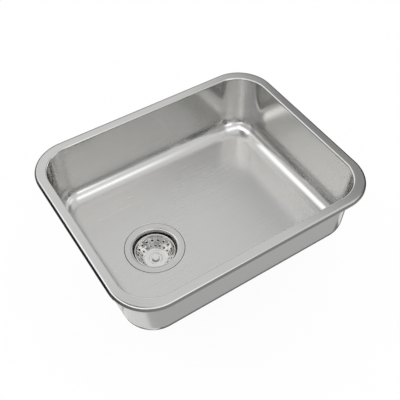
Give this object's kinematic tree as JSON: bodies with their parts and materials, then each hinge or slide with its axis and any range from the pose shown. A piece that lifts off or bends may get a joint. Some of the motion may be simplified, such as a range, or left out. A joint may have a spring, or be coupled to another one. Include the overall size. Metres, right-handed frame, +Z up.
{
  "type": "undermount kitchen sink",
  "caption": "Shallow rectangular undermount sink bowl with rolled rim, coved floor and an off-centre basket strainer that lifts out.",
  "frame": {"origin": "middle of the rim's flat top, the face that meets the countertop's underside", "axes": "+Z up out of the bowl, +X along the long side with the drain at the -X end, +Y from the front side to the back side"},
  "size_m": [0.516, 0.414, 0.3047],
  "materials": {
    "brushed_stainless": "satin brushed",
    "polished_stainless": "polished",
    "pad_rubber": "matt",
    "seal_rubber": "matt",
    "red_fibre": "pressed fibre",
    "cast_zinc": "as cast",
    "white_nylon": "moulded",
    "chromed_brass": "plated"
  },
  "bodies": {
    "sink": {"sink_bowl": "brushed_stainless", "floor_sound_pad": "pad_rubber", "strainer_body": "polished_stainless", "flange_seal": "seal_rubber", "rubber_washer": "seal_rubber", "friction_washer": "red_fibre", "locknut": "cast_zinc", "outlet_crossbar": "polished_stainless", "tailpiece_washer": "white_nylon", "tailpiece": "polished_stainless", "coupling_nut": "chromed_brass"},
    "stem": {"basket_knob": "polished_stainless", "basket_post": "polished_stainless", "stopper_plate": "polished_stainless", "basket_stopper": "seal_rubber", "stopper_washer": "polished_stainless", "stopper_nut": "polished_stainless"},
    "basket": {"basket_cup": "polished_stainless", "basket_bush": "white_nylon"}
  },
  "joints": [
    {"name": "basket_lift", "type": "slide", "parent": "sink", "child": "stem", "axis": [0, 0, 1], "range_m": [0, 0.2]},
    {"name": "basket_spin", "type": "hinge", "parent": "stem", "child": "basket", "pos_m": [-0.1095, -0.0135, -0.17125], "axis": [0, 0, 1], "continuous": true}
  ]
}
